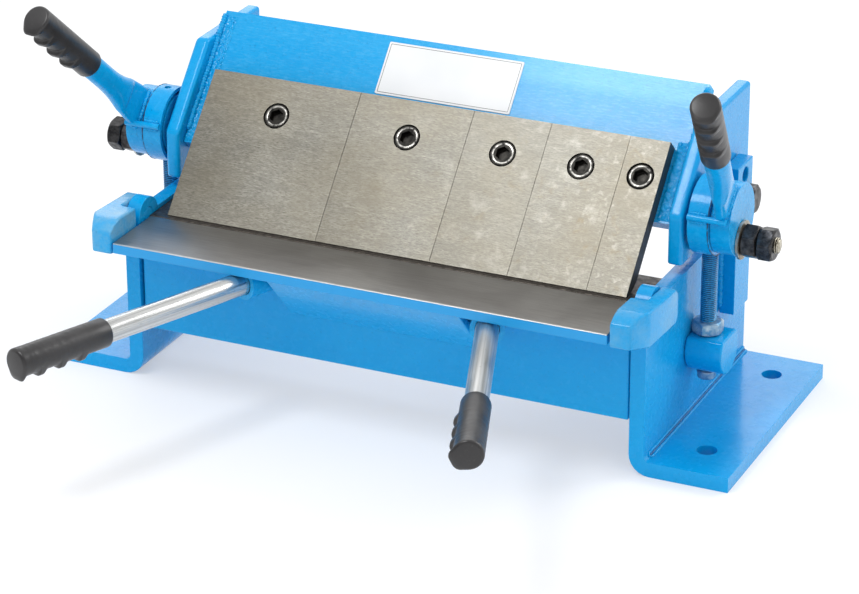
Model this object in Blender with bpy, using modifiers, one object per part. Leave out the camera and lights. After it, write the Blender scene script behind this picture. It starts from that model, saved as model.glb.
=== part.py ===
"""A bench box and pan brake for sheet up to 305 mm wide.

Frame: X runs along the bend line, -Y is the side the operator stands on, +Z is up, and z = 0 is
the bench. The origin lies under the middle of the whole machine's box. Lengths are metres.
Inside the script y is counted from the front faces of the side frames, and the empty named datum
moves everything to the origin at the end.
"""
import math

import bmesh
import bpy
from mathutils import Matrix, Vector

mm = 0.001

# Stock and clearances
fit_gap = 0.3 * mm          # between neighbouring pieces
weld_distance = 0.005 * mm  # merges the caps and seams of made meshes
overrun = 4 * mm            # how far a cutter reaches past what it cuts
plate = 9.5 * mm            # side frames, end plates, beam plate, fingers and bars

# Fingers: widths along X from left to right
finger_widths = [101.6 * mm, 76.2 * mm, 50.8 * mm, 50.8 * mm, 25.4 * mm]
finger_length = 99.4 * mm
finger_lean = math.radians(47.25)  # the front face above the horizontal
finger_foot = 9 * mm               # flat under the nose
finger_relief = 14 * mm            # where the ground relief meets the back face
finger_setback = 4.7 * mm          # nose behind the bend line
finger_joint = 0.25 * mm           # seam between two fingers

# Screws that hold the fingers
screw_station = 75.3 * mm          # along the finger from its nose
screw_head_radius = 7.8 * mm
screw_head_height = 6.5 * mm
screw_socket_across = 8 * mm
screw_socket_depth = 4 * mm
screw_radius = 5 * mm
screw_tail = 4 * mm                # past the back of the beam plate
counterbore_radius = 8.6 * mm
counterbore_depth = 6.9 * mm

# Side frames, each one bent plate
frame_room = 10.6 * mm             # inner face past the end of the finger row
frame_depth = 171.5 * mm
frame_height = 106.3 * mm
frame_bend = 13 * mm               # outside radius where the foot turns out
foot_reach = 53 * mm               # foot past the frame's outer face
foot_hole_radius = 6.35 * mm
foot_hole_out = 28.5 * mm          # hole centres past the frame's outer face
foot_hole_front = 30 * mm
foot_hole_rear = 27 * mm

# Hinge of the folding leaf, on the bend line
bend_y = 14 * mm
hinge_drop = 2.3 * mm              # bend line below the frames' top edge
lug_radius = 12 * mm
lug_front_drop = 12 * mm           # below the hinge, where the lug runs into the front edge
hinge_pin_radius = 5 * mm

# Bed
bed_bar_thick = 12 * mm
bed_bar_depth = 40 * mm
bed_beam_setback = 10 * mm         # behind the bed bar's front face
bed_beam_drop = 68 * mm            # bottom below the bed
bed_beam_flange = 36 * mm

# Folding leaf
leaf_side_gap = 1.5 * mm           # to each side frame
leaf_depth = 48.2 * mm
leaf_thick = 6.5 * mm
web_setback = 2 * mm               # web's front face behind the frames' front faces
web_thick = 6.5 * mm
web_hang = 2.5 * mm                # bottom edge below the bed beam's
brace_front = 3 * mm               # behind the leaf plate's front edge
brace_drop = 42.5 * mm             # lower edge below the bed
brace_thick = 5 * mm
brace_ends = {"left": 20.5 * mm, "right": 19.5 * mm}   # inside the handles' roots

# Ears that carry the leaf on its pins
ear_thick = 13 * mm                # across the front face
ear_wall = 9.6 * mm                # cheek outside the frame's lug
ear_step = 1.5 * mm                # block's back face in front of the frame
ear_crease = 15.5 * mm             # outer face starts this far behind the front face
ear_back = 11.5 * mm               # behind the hinge
ear_lip_above = 6.8 * mm           # top of the front face, above the bed
ear_lip_below = 7.6 * mm           # bottom of the front face, below the bed
ear_crown = 12 * mm                # above the bed
ear_crown_start = 9 * mm           # behind the front face
ear_crown_fall = 2.4 * mm          # towards the back end
ear_belly = 10.8 * mm              # below the bed at the crease
ear_belly_fall = 2 * mm            # towards the back end
ear_skin = 1.8 * mm                # left over the end of the hinge pin
ear_round = 3.5 * mm               # where the front rounds over into the crown

# Handles of the leaf
handle_radius = 7.1 * mm
handle_insets = {"left": 83 * mm, "right": 76.5 * mm}   # roots inside the frames' inner faces
handle_spreads = {"left": 58.5 * mm, "right": 57.1 * mm}   # tips outside the roots
handle_tip_ahead = 153.5 * mm      # tip in front of the plate's front edge
handle_rise = 3.7 * mm
socket_wall = 3 * mm
socket_end = 8 * mm                # behind the plate's front edge
leaf_grip_length = 66 * mm
leaf_grip_radius = 8.9 * mm

# Clamping beam
beam_low = 52 * mm                 # lower edge, along the fingers from the nose
beam_high = 143 * mm
rib_station = 100 * mm
rib_depth = 30 * mm
end_front = 41 * mm                # behind the bend line
end_above_bed = 8.5 * mm
end_height = 78.5 * mm
end_rear = 2 * mm                  # in front of the frames' rear edge
end_chamfer_y = 15 * mm
end_chamfer_z = 13 * mm

# Beam pivots
pivot_from_rear = 35.5 * mm        # in front of the frames' rear edge
pivot_above_bed = 24 * mm
pivot_radius = 6 * mm
pivot_head_across = 19 * mm
pivot_head_height = 7.5 * mm
pivot_nut_height = 9 * mm
pivot_tail = 2 * mm
bar_width = 26 * mm
bar_drop = 49 * mm                 # bottom below the bed
bar_rise = 23 * mm                 # top above the pivot
bar_spare_hole_radius = 5 * mm
bar_spare_hole_up = 15 * mm        # spare hole above the pivot

# Eccentric clamps
stud_behind_bend = 64 * mm
stud_above_bed = 22.5 * mm
stud_radius = 5 * mm
stud_tail = 2.7 * mm               # past the lock nut
stud_collar_radius = 11 * mm
stud_collar_thick = 2.5 * mm
throw = 13 * mm                    # eccentric's centre above the stud when clamped
eye_thick = 13 * mm
eye_radius = 24 * mm
hub_radius = 22 * mm
hub_thick = 12.3 * mm
journal_wall = 0.8 * mm              # past the stud bore, on the thin side of the eccentric
journal_play = 2.5 * mm
oil_hole_radius = 2.2 * mm
stop_pin_radius = 2 * mm
stop_pin_short = 1.5 * mm          # of the hub's outer face
stop_pin_angle = math.radians(15)  # above the forward horizontal
stop_pin_bite = 1 * mm           # depth welded into the eye
washer_radius = 12 * mm
washer_thick = 1.5 * mm
nut_across = 18.6 * mm
nut_height = 9.6 * mm
nut_turn = math.radians(17)         # lock nut against the nut

# Clamp levers
lever_radius = 7.6 * mm
lever_flat_share = 0.76            # thickness of the arm's root over its diameter
lever_root = 18 * mm               # from the eccentric's centre
lever_neck = 30 * mm
lever_round = 50 * mm
lever_tip = 145 * mm
lever_splay = 16.4 * mm              # tip past the root, outwards
lever_angles = {"left": math.radians(43.3), "right": math.radians(47.6)}
lever_grip_length = 64.6 * mm
lever_grip_radius = 8.9 * mm

# Grips
grip_cap = 4 * mm
grip_round = 1.2 * mm
grip_lip = 4 * mm                  # first ridge, at the tip
ridge_count = 3
ridge_pitch = 15 * mm
ridge_height = 2 * mm
ridge_width = 10 * mm
ridge_hook = 1.4 * mm              # length of a ridge's steep side
ridge_root = 0.4 * mm              # below the grip's surface
ridge_seat_share = 0.75            # of the grip's radius, where the ridges start inside it

# Pull rods
rod_radius = 5 * mm
trunnion_z = 53.5 * mm
trunnion_radius = 15 * mm
trunnion_length = 23.5 * mm
trunnion_flat = 9.4 * mm             # flat top above the trunnion's centre
trunnion_pin_radius = 4 * mm
trunnion_pin_length = 3.6 * mm     # past the frame's outer face
trunnion_play = 2.7 * mm           # round the pin
rod_nut_across = 17 * mm
rod_nut_height = 8 * mm
rod_tail = 5.5 * mm                # below the trunnion block
rod_bore_play = 0.15 * mm
rod_bite = 1.3 * mm                # into the eye's wall

# Derived sizes
finger_row = sum(finger_widths)
frame_inner = finger_row / 2 + frame_room
frame_outer = frame_inner + plate
foot_edge = frame_outer + foot_reach
bed_level = frame_height - hinge_drop
bed_beam_bottom = bed_level - bed_beam_drop
hinge = Vector((0, bend_y, bed_level))
leaf_half = frame_inner - leaf_side_gap
leaf_front = bend_y - leaf_depth
leaf_rear = bend_y - fit_gap
leaf_under = bed_level - leaf_thick
web_bottom = bed_beam_bottom - web_hang
brace_bottom = bed_level - brace_drop
beam_half = frame_inner - fit_gap
nose = Vector((0, bend_y + finger_setback, bed_level + fit_gap))
up_finger = Vector((0, math.cos(finger_lean), math.sin(finger_lean)))
into_finger = Vector((0, math.sin(finger_lean), -math.cos(finger_lean)))
beam_face = plate + fit_gap
beam_back = beam_face + plate
bar_outer = frame_outer + fit_gap + plate
ear_outer = frame_outer + fit_gap + ear_wall
pivot = Vector((0, frame_depth - pivot_from_rear, bed_level + pivot_above_bed))
stud = Vector((0, bend_y + stud_behind_bend, bed_level + stud_above_bed))
bar_bottom = bed_level - bar_drop
bar_top = pivot.z + bar_rise
end_bottom = bed_level + end_above_bed
end_top = end_bottom + end_height
end_rear_y = frame_depth - end_rear
cam = stud + Vector((0, 0, throw))
collar_outer = frame_outer + fit_gap + stud_collar_thick
eye_inner = collar_outer + fit_gap
eye_outer = eye_inner + eye_thick
hub_inner = eye_outer + fit_gap
hub_outer = hub_inner + hub_thick
stud_end = hub_outer + washer_thick + 2 * nut_height + 3 * fit_gap + stud_tail
stud_bore = stud_radius + fit_gap
journal_radius = throw + stud_bore + journal_wall
eye_bore = journal_radius + journal_play
rod_x = (eye_inner + eye_outer) / 2
trunnion = Vector((0, stud.y, trunnion_z))
handle_root_z = leaf_under - fit_gap - handle_radius
handle_roots = {side: frame_inner - inset for side, inset in handle_insets.items()}
handle_tips = {side: root + handle_spreads[side] for side, root in handle_roots.items()}
sides = {"left": -1, "right": 1}

# Sides of round and hexagonal pieces
round_count = 32
small_round_count = 20
screw_round_count = 24
hexagon_count = 6

blue = (0.032, 0.235, 0.60, 1)
steel = (0.36, 0.33, 0.29, 1)
dark_steel = (0.20, 0.19, 0.18, 1)
zinc = (0.62, 0.63, 0.62, 1)
black = (0.03, 0.03, 0.032, 1)


for old in list(bpy.data.objects):
    bpy.data.objects.remove(old, do_unlink=True)


def new_collection(name):
    collection = bpy.data.collections.new(name)
    bpy.context.scene.collection.children.link(collection)
    return collection


machine = new_collection("sheet_metal_brake")
cutters = new_collection("cutters")


def material(name, colour, roughness, metallic):
    made = bpy.data.materials.new(name)
    made.use_nodes = True
    shader = made.node_tree.nodes["Principled BSDF"]
    shader.inputs["Base Color"].default_value = colour
    shader.inputs["Roughness"].default_value = roughness
    shader.inputs["Metallic"].default_value = metallic
    return made


finishes = {
    "blue": (blue, 0.25, 0.0),
    "steel": (steel, 0.38, 1.0),
    "dark_steel": (dark_steel, 0.42, 1.0),
    "zinc": (zinc, 0.25, 1.0),
    "black": (black, 0.5, 0.0),
    "oxide": (black, 0.4, 0.8),
}


def finish(piece, name):
    """Give a piece its own material from the named finish."""
    colour, roughness, metallic = finishes[name]
    piece.data.materials.clear()
    piece.data.materials.append(material(piece.name + "_" + name, colour, roughness, metallic))
    return piece


def new_object(name, mesh, place, where):
    piece = bpy.data.objects.new(name, mesh)
    where.objects.link(piece)
    piece.matrix_world = place
    return piece


def outline_solid(name, outline, thickness, place, where=machine):
    """A flat outline in the local XY plane, thick along local Z about zero."""
    curve = bpy.data.curves.new(name, "CURVE")
    curve.dimensions = "2D"
    curve.fill_mode = "BOTH"
    curve.extrude = thickness / 2
    spline = curve.splines.new("POLY")
    spline.points.add(len(outline) - 1)
    for point, (u, v) in zip(spline.points, outline):
        point.co = (u, v, 0, 1)
    spline.use_cyclic_u = True
    drawn = bpy.data.objects.new(name + "_outline", curve)
    where.objects.link(drawn)
    drawn.matrix_world = place
    bpy.context.view_layer.update()
    graph = bpy.context.evaluated_depsgraph_get()
    mesh = bpy.data.meshes.new_from_object(drawn.evaluated_get(graph))
    mesh.name = name
    shell = bmesh.new()
    shell.from_mesh(mesh)
    bmesh.ops.remove_doubles(shell, verts=shell.verts, dist=weld_distance)
    bmesh.ops.recalc_face_normals(shell, faces=shell.faces)
    shell.to_mesh(mesh)
    shell.free()
    bpy.data.objects.remove(drawn, do_unlink=True)
    return new_object(name, mesh, place, where)


def across_x(middle):
    """Outline in (y, z), thickness along X about x = middle."""
    place = Matrix(((0, 0, 1, 0), (1, 0, 0, 0), (0, 1, 0, 0), (0, 0, 0, 1)))
    place.translation = (middle, 0, 0)
    return place


def along_y(middle):
    """Outline in (x, z), thickness along Y about y = middle."""
    place = Matrix(((1, 0, 0, 0), (0, 0, -1, 0), (0, 1, 0, 0), (0, 0, 0, 1)))
    place.translation = (0, middle, 0)
    return place


def aimed(start, direction):
    """Local Z along a direction, from start."""
    turn = Vector(direction).to_track_quat("Z", "Y")
    return Matrix.Translation(start) @ turn.to_matrix().to_4x4()


def slab(name, outline, low_x, high_x, where=machine):
    """A plate square to X from an outline in (y, z)."""
    return outline_solid(name, outline, abs(high_x - low_x), across_x((low_x + high_x) / 2), where)


def box(name, low, high, where=machine):
    shell = bmesh.new()
    bmesh.ops.create_cube(shell, size=1)
    size = Vector(high) - Vector(low)
    bmesh.ops.scale(shell, vec=size, verts=shell.verts)
    mesh = bpy.data.meshes.new(name)
    shell.to_mesh(mesh)
    shell.free()
    return new_object(name, mesh, Matrix.Translation((Vector(low) + Vector(high)) / 2), where)


def cylinder(name, start, end, radius, segments=round_count, where=machine):
    """A cylinder, or a hexagon with six segments, between two points."""
    start = Vector(start)
    run = Vector(end) - start
    shell = bmesh.new()
    bmesh.ops.create_cone(
        shell, cap_ends=True, segments=segments, radius1=radius, radius2=radius, depth=run.length
    )
    mesh = bpy.data.meshes.new(name)
    shell.to_mesh(mesh)
    shell.free()
    return new_object(name, mesh, aimed(start + run / 2, run), where)


def turned(name, profile, place, segments=round_count, closed=False, where=machine):
    """A turned piece: (radius, height) runs down the outer side, top to bottom."""
    mesh = bpy.data.meshes.new(name)
    shell = bmesh.new()
    points = [shell.verts.new((radius, 0, height)) for radius, height in profile]
    for first, second in zip(points, points[1:]):
        shell.edges.new((first, second))
    if closed:
        shell.edges.new((points[-1], points[0]))
    shell.to_mesh(mesh)
    shell.free()
    piece = new_object(name, mesh, place, where)
    screw = piece.modifiers.new("turn", "SCREW")
    screw.axis = "Z"
    screw.steps = segments
    screw.render_steps = segments
    screw.use_merge_vertices = True
    screw.merge_threshold = weld_distance
    return piece


def boolean(piece, tool, operation):
    change = piece.modifiers.new(operation.lower(), "BOOLEAN")
    change.operation = operation
    change.solver = "EXACT"
    change.object = tool
    for collection in list(tool.users_collection):
        collection.objects.unlink(tool)
    cutters.objects.link(tool)
    tool.hide_render = True
    tool.display_type = "WIRE"
    return piece


def cut(piece, tool):
    return boolean(piece, tool, "DIFFERENCE")


def join(piece, tool):
    return boolean(piece, tool, "UNION")


def bore(piece, start, end, radius, segments=round_count):
    """Cut a round hole that runs past both ends by the overrun."""
    start = Vector(start)
    end = Vector(end)
    reach = (end - start).normalized() * overrun
    return cut(piece, cylinder(piece.name + "_bore", start - reach, end + reach, radius, segments))


def blind(piece, start, end, radius, segments=round_count):
    """Cut a hole that opens at start and ends at end."""
    start = Vector(start)
    end = Vector(end)
    reach = (end - start).normalized() * overrun
    return cut(piece, cylinder(piece.name + "_pocket", start - reach, end, radius, segments))


def arc(centre, radius, first, last, steps):
    """Points on a circle from one angle to another, both in degrees."""
    points = []
    for step in range(steps + 1):
        angle = math.radians(first + (last - first) * step / steps)
        points.append((centre[0] + radius * math.cos(angle), centre[1] + radius * math.sin(angle)))
    return points


def on_finger(station, depth, x=0):
    """A point by its distance up the fingers' front face and its depth behind that face."""
    return nose + up_finger * station + into_finger * depth + Vector((x, 0, 0))


def yz(point):
    return (point.y, point.z)


def hexagon_radius(across_flats):
    return across_flats / math.sqrt(3)


def side_frame(side, sign):
    """A bent plate: upright leg with the hinge lug, and a foot turned outwards."""
    inside_bend = frame_bend - plate
    corner = (frame_inner + frame_bend, frame_bend)
    top = bed_level + lug_radius + overrun
    section = [(frame_inner, top)]
    section += arc(corner, frame_bend, 180, 270, 6)
    section += [(foot_edge, 0), (foot_edge, plate)]
    section += arc(corner, inside_bend, 270, 180, 4)
    section += [(frame_outer, top)]
    section = [(sign * x, z) for x, z in section]
    frame = outline_solid("frame_" + side, section, frame_depth, along_y(frame_depth / 2))

    above = frame_height - bed_level
    meets = math.degrees(math.asin(above / lug_radius))
    silhouette = [(-overrun, -overrun), (frame_depth + overrun, -overrun)]
    silhouette += [(frame_depth + overrun, frame_height)]
    silhouette += arc(yz(hinge), lug_radius, meets, 180, 12)
    silhouette += [(0, bed_level - lug_front_drop), (-overrun, bed_level - lug_front_drop)]
    keep = slab("frame_shape", silhouette, sign * (frame_inner - overrun), sign * (foot_edge + overrun))
    boolean(frame, keep, "INTERSECT")

    hole_x = sign * (frame_outer + foot_hole_out)
    for hole_y in (foot_hole_front, frame_depth - foot_hole_rear):
        bore(frame, (hole_x, hole_y, 0), (hole_x, hole_y, plate), foot_hole_radius, small_round_count)
    pin_hole = hinge_pin_radius + fit_gap
    bore(frame, hinge + Vector((sign * frame_inner, 0, 0)), hinge + Vector((sign * frame_outer, 0, 0)),
         pin_hole, small_round_count)
    pin_start = trunnion + Vector((sign * (frame_outer - overrun), 0, 0))
    pin_end = trunnion + Vector((sign * (frame_outer + trunnion_pin_length), 0, 0))
    join(frame, cylinder("trunnion_pin", pin_start, pin_end, trunnion_pin_radius, small_round_count))
    return finish(frame, "blue")


def bed():
    bar = box("bed_bar", (-beam_half, bend_y + fit_gap, bed_level - bed_bar_thick),
              (beam_half, bend_y + bed_bar_depth, bed_level))
    finish(bar, "dark_steel")
    front = bend_y + fit_gap + bed_beam_setback
    top = bed_level - bed_bar_thick - fit_gap
    inner = front + plate
    outline = [(front, bed_beam_bottom), (front + bed_beam_flange, bed_beam_bottom)]
    outline += [(front + bed_beam_flange, bed_beam_bottom + plate), (inner, bed_beam_bottom + plate)]
    outline += [(inner, top), (front, top)]
    finish(slab("bed_beam", outline, -beam_half, beam_half), "blue")


def rear_bar(side, sign):
    """The upright that carries the beam's pivot, with a spare hole above it."""
    low = (min(sign * (frame_outer + fit_gap), sign * bar_outer), pivot.y - bar_width / 2, bar_bottom)
    high = (max(sign * (frame_outer + fit_gap), sign * bar_outer), pivot.y + bar_width / 2, bar_top)
    bar = box("rear_bar_" + side, low, high)
    for rise, radius in ((0, pivot_radius + fit_gap), (bar_spare_hole_up, bar_spare_hole_radius)):
        at = pivot + Vector((0, 0, rise))
        bore(bar, at + Vector((sign * frame_outer, 0, 0)), at + Vector((sign * bar_outer, 0, 0)),
             radius, small_round_count)
    return finish(bar, "blue")


def pivot_bolt(side, sign):
    """Hexagon bolt through the bar and the end plate, with its nut inside."""
    along = Vector((sign, 0, 0))
    nut_face = frame_inner - fit_gap
    nut_end = nut_face - pivot_nut_height
    head_face = bar_outer + fit_gap
    bolt = cylinder("pivot_bolt_" + side, pivot + along * head_face,
                    pivot + along * (head_face + pivot_head_height), hexagon_radius(pivot_head_across), hexagon_count)
    join(bolt, cylinder("pivot_shank", pivot + along * (nut_end - pivot_tail),
                        pivot + along * (head_face + pivot_head_height / 2), pivot_radius, small_round_count))
    finish(bolt, "oxide")
    nut = cylinder("pivot_nut_" + side, pivot + along * nut_end, pivot + along * nut_face,
                   hexagon_radius(pivot_head_across), hexagon_count)
    bore(nut, pivot + along * nut_end, pivot + along * nut_face, pivot_radius + fit_gap, small_round_count)
    finish(nut, "oxide")


def hinge_pin(side, sign):
    inner = hinge + Vector((sign * frame_inner, 0, 0))
    outer = hinge + Vector((sign * (ear_outer - ear_skin - fit_gap), 0, 0))
    return finish(cylinder("hinge_pin_" + side, inner, outer, hinge_pin_radius, small_round_count), "zinc")


def leaf_plates():
    finish(box("leaf_plate", (-leaf_half, leaf_front, leaf_under), (leaf_half, leaf_rear, bed_level)),
           "dark_steel")
    web_top = leaf_under - fit_gap
    web = box("leaf_web", (-leaf_half, web_setback, web_bottom),
              (leaf_half, web_setback + web_thick, web_top))
    finish(web, "blue")
    toe_y = leaf_front + brace_front
    heel_y = web_setback - fit_gap
    slope = math.atan2(web_top - brace_bottom, heel_y - toe_y)
    outline = [(toe_y, web_top), (heel_y, brace_bottom)]
    outline += [(heel_y, brace_bottom + brace_thick / math.cos(slope))]
    outline += [(toe_y + brace_thick / math.sin(slope), web_top)]
    ends = {side: handle_roots[side] - brace_ends[side] for side in sides}
    brace = slab("leaf_brace", outline, -ends["left"], ends["right"])
    for side, sign in sides.items():
        start, along, length = handle_line(side, sign)
        radius = handle_radius + fit_gap + socket_wall + fit_gap
        cut(brace, cylinder("socket_room", start - along * leaf_depth, start + along * overrun, radius))
    return finish(brace, "blue")


def leaf_ear(side, sign):
    """A thick cheek in front of the frame that widens outwards to pass the frame's hinge lug."""
    block_inner = leaf_half + leaf_side_gap - fit_gap
    lug_inner = frame_outer + fit_gap
    back = bend_y + ear_back
    crease = leaf_front + ear_crease
    plan = [(block_inner, leaf_front), (block_inner + ear_thick, leaf_front), (ear_outer, crease)]
    plan += [(ear_outer, back), (lug_inner, back), (lug_inner, -ear_step), (block_inner, -ear_step)]
    plan = [(sign * x, y) for x, y in plan]
    height = 2 * (ear_crown + overrun + ear_belly)
    ear = outline_solid("leaf_ear_" + side, plan, height, Matrix.Translation((0, 0, bed_level)))

    crown = bed_level + ear_crown
    belly = bed_level - ear_belly
    shape = [(leaf_front, bed_level - ear_lip_below), (crease, belly)]
    shape += [(back - ear_round, belly - ear_belly_fall), (back, belly - ear_belly_fall + ear_round)]
    shape += [(back, crown - ear_crown_fall - ear_round), (back - ear_round, crown - ear_crown_fall)]
    shape += [(leaf_front + ear_crown_start + ear_round, crown)]
    shape += [(leaf_front + ear_crown_start - ear_round, crown - ear_round / 2)]
    shape += [(leaf_front, bed_level + ear_lip_above)]
    keep = slab("ear_shape", shape, sign * (block_inner - overrun), sign * (ear_outer + overrun))
    boolean(ear, keep, "INTERSECT")
    blind(ear, hinge + Vector((sign * lug_inner, 0, 0)), hinge + Vector((sign * (ear_outer - ear_skin), 0, 0)),
          hinge_pin_radius + fit_gap, small_round_count)
    return finish(ear, "blue")


def handle_line(side, sign):
    """Where a leaf handle's axis passes the plate's front edge, its direction and its length."""
    start = Vector((sign * handle_roots[side], leaf_front, handle_root_z))
    run = Vector((sign * (handle_tips[side] - handle_roots[side]), -handle_tip_ahead, handle_rise))
    return start, run.normalized(), run.length


def leaf_handle(side, sign):
    """Welded socket and the bright tube that stands in it."""
    start, along, length = handle_line(side, sign)
    root_x = start.x
    back_reach = (web_setback - fit_gap - leaf_front) / abs(along.y)
    socket_radius = handle_radius + fit_gap + socket_wall
    socket = cylinder("handle_socket_" + side, start - along * (back_reach + 2 * socket_radius),
                      start - along * socket_end, socket_radius)
    bore(socket, start - along * back_reach, start, handle_radius + fit_gap)
    room = 3 * socket_radius
    face = web_setback - fit_gap
    cut(socket, box("web_face", (root_x - 3 * room, face, leaf_under - 2 * room),
                    (root_x + 3 * room, face + 2 * room, leaf_under + room)))
    cut(socket, box("plate_face", (root_x - 3 * room, leaf_front - room, leaf_under - fit_gap),
                    (root_x + 3 * room, face + room, leaf_under + room)))
    finish(socket, "blue")
    tube_start = start - along * (back_reach - handle_radius)
    tube = cylinder("leaf_handle_" + side, tube_start, start + along * (length - grip_cap - fit_gap),
                    handle_radius)
    finish(tube, "zinc")
    ridge_way = Vector((0, 0, -1)) if sign < 0 else Vector((-1, 0, -0.5))
    grip("leaf_grip_" + side, start + along * length, along, leaf_grip_length, leaf_grip_radius,
         handle_radius, ridge_way)


def grip(name, tip, along, length, radius, core, ridge_way):
    """A moulded sleeve with a closed tip and hooked finger ridges along one side."""
    bottom = -length
    profile = [(0, 0), (radius - grip_round, 0), (radius, -grip_round), (radius, bottom + grip_round)]
    profile += [(radius - grip_round / 2, bottom), (0, bottom)]
    sleeve = turned(name, profile, aimed(tip, along))
    across = (ridge_way - along * ridge_way.dot(along)).normalized()
    normal = along.cross(across)
    place = Matrix((along, across, normal)).transposed().to_4x4()
    place.translation = tip
    low = radius * ridge_seat_share
    top = radius + ridge_height
    last = -ridge_count * ridge_pitch
    outline = [(-grip_round, low), (last - ridge_hook, low)]
    for index in range(ridge_count, 0, -1):
        edge = -index * ridge_pitch
        outline += [(edge - ridge_hook, radius - ridge_root), (edge, top)]
    outline += [(-grip_lip - ridge_hook, radius - ridge_root), (-grip_lip, top), (-grip_round, top)]
    join(sleeve, outline_solid("ridges", outline, ridge_width, place))
    blind(sleeve, tip - along * length, tip - along * grip_cap, core + fit_gap)
    return finish(sleeve, "black")


def fingers():
    """Five fingers of unlike width with their screws, side by side along the bend line."""
    left = -finger_row / 2
    foot = nose + Vector((0, finger_foot, 0))
    shape = [yz(nose), yz(foot), yz(on_finger(finger_relief, plate))]
    shape += [yz(on_finger(finger_length, plate)), yz(on_finger(finger_length, 0))]
    for number, width in enumerate(finger_widths, 1):
        right = left + width
        middle = (left + right) / 2
        finger = slab("finger_%d" % number, shape, left + finger_joint / 2, right - finger_joint / 2)
        bore(finger, on_finger(screw_station, 0, middle), on_finger(screw_station, plate, middle),
             screw_radius + 2 * fit_gap, small_round_count)
        blind(finger, on_finger(screw_station, 0, middle),
              on_finger(screw_station, counterbore_depth, middle), counterbore_radius)
        finish(finger, "steel")
        finger_screw(number, middle)
        left = right


def finger_screw(number, x):
    seat = counterbore_depth - fit_gap
    end = beam_back + screw_tail
    profile = [(0, 0), (screw_head_radius, 0), (screw_head_radius, -screw_head_height)]
    profile += [(screw_radius, -screw_head_height), (screw_radius, -screw_head_height - end + seat)]
    profile += [(0, -screw_head_height - end + seat)]
    top = on_finger(screw_station, seat - screw_head_height, x)
    screw = turned("finger_screw_%d" % number, profile, aimed(top, -into_finger), screw_round_count)
    blind(screw, top, top + into_finger * screw_socket_depth, hexagon_radius(screw_socket_across), hexagon_count)
    return finish(screw, "oxide")


def clamping_beam():
    """The leaning plate that backs the fingers, and the rib welded behind it."""
    outline = [yz(on_finger(beam_low, beam_face)), yz(on_finger(beam_low, beam_back))]
    outline += [yz(on_finger(beam_high, beam_back)), yz(on_finger(beam_high, beam_face))]
    beam = slab("beam_plate", outline, -beam_half, beam_half)
    left = -finger_row / 2
    for width in finger_widths:
        middle = left + width / 2
        bore(beam, on_finger(screw_station, beam_face, middle), on_finger(screw_station, beam_back, middle),
             screw_radius + fit_gap, small_round_count)
        left += width
    finish(beam, "blue")
    rib_face = beam_back + fit_gap
    outline = [yz(on_finger(rib_station, rib_face)), yz(on_finger(rib_station, rib_face + rib_depth))]
    outline += [yz(on_finger(rib_station + plate, rib_face + rib_depth))]
    outline += [yz(on_finger(rib_station + plate, rib_face))]
    finish(slab("beam_rib", outline, -beam_half, beam_half), "blue")


def end_plate(side, sign):
    """The cheek at each end of the beam, flush with the fingers' front faces."""
    end_front_y = bend_y + end_front
    low_station = (end_front_y - nose.y) / up_finger.y
    high_station = (end_top - nose.z) / up_finger.z
    outline = [(end_front_y, end_bottom), (end_rear_y - end_chamfer_y, end_bottom)]
    outline += [(end_rear_y, end_bottom + end_chamfer_z), (end_rear_y, end_top)]
    outline += [yz(on_finger(high_station, 0)), yz(on_finger(low_station, 0))]
    cheek = slab("end_plate_" + side, outline, sign * frame_inner, sign * frame_outer)
    for at, radius in ((pivot, pivot_radius), (stud, stud_radius)):
        bore(cheek, at + Vector((sign * frame_inner, 0, 0)), at + Vector((sign * frame_outer, 0, 0)),
             radius + fit_gap, small_round_count)
    return finish(cheek, "blue")


def clamp_stud(side, sign):
    """The fixed stud of a clamp with its collar, washer, nut and lock nut."""
    along = Vector((sign, 0, 0))
    pin = cylinder("clamp_stud_" + side, stud + along * (frame_inner + fit_gap), stud + along * stud_end,
                   stud_radius, small_round_count)
    join(pin, cylinder("stud_collar", stud + along * (frame_outer + fit_gap), stud + along * collar_outer,
                       stud_collar_radius, small_round_count))
    finish(pin, "zinc")
    face = hub_outer + fit_gap
    washer = cylinder("stud_washer_" + side, stud + along * face, stud + along * (face + washer_thick),
                      washer_radius, small_round_count)
    bore(washer, stud + along * face, stud + along * (face + washer_thick), stud_bore, small_round_count)
    finish(washer, "oxide")
    face += washer_thick + fit_gap
    for name, turn in (("stud_nut_", 0), ("stud_lock_nut_", nut_turn)):
        nut = cylinder(name + side, stud + along * face, stud + along * (face + nut_height),
                       hexagon_radius(nut_across), hexagon_count)
        nut.matrix_world = nut.matrix_world @ Matrix.Rotation(turn, 4, "Z")
        bore(nut, stud + along * face, stud + along * (face + nut_height), stud_bore, small_round_count)
        finish(nut, "oxide")
        face += nut_height + fit_gap


def cam_hub(side, sign):
    """Lever hub and eccentric journal in one, bored off centre for the stud."""
    along = Vector((sign, 0, 0))
    hub = cylinder("cam_hub_" + side, cam + along * hub_inner, cam + along * hub_outer, hub_radius)
    join(hub, cylinder("journal", cam + along * eye_inner, cam + along * (hub_inner + overrun),
                       journal_radius))
    bore(hub, stud + along * eye_inner, stud + along * hub_outer, stud_bore, small_round_count)
    return finish(hub, "blue")


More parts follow.
